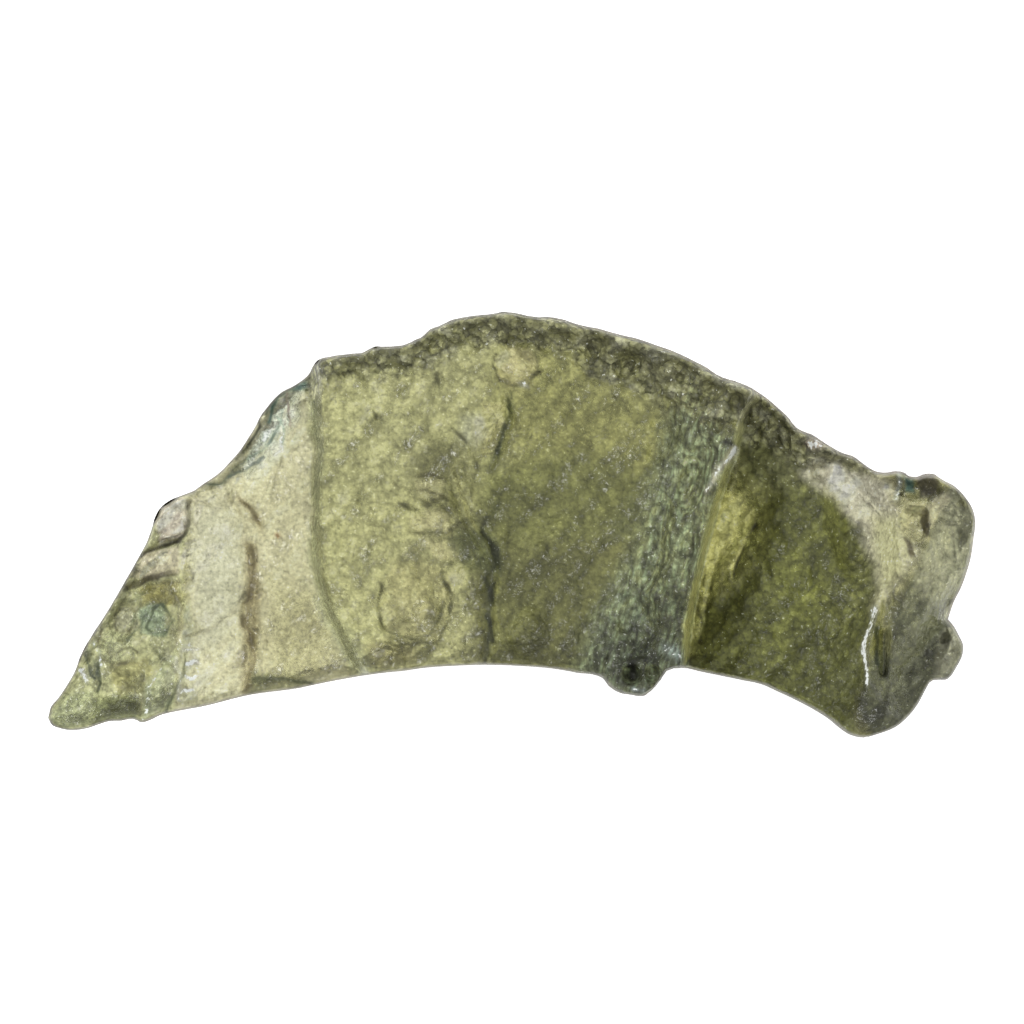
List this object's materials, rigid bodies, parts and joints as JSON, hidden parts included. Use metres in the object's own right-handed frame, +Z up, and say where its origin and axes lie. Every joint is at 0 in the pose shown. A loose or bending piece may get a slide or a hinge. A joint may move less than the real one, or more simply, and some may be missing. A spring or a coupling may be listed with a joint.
{
  "type": "moldavite",
  "caption": "Crescent-shaped piece of olive-green natural glass with a thin pale end, a stepped plate, a steep ridge, a recess and a thick knuckled end.",
  "frame": {"origin": "centre of the footprint box, on the surface that the stone lies on", "axes": "+X along the length, to the thick end; +Y from the hollow edge to the arched edge; +Z up through the thickness"},
  "size_m": [0.037, 0.0169, 0.0077],
  "materials": {
    "olive_glass": "satin, see-through olive green"
  },
  "bodies": {
    "root": {"moldavite": "olive_glass"}
  },
  "joints": []
}
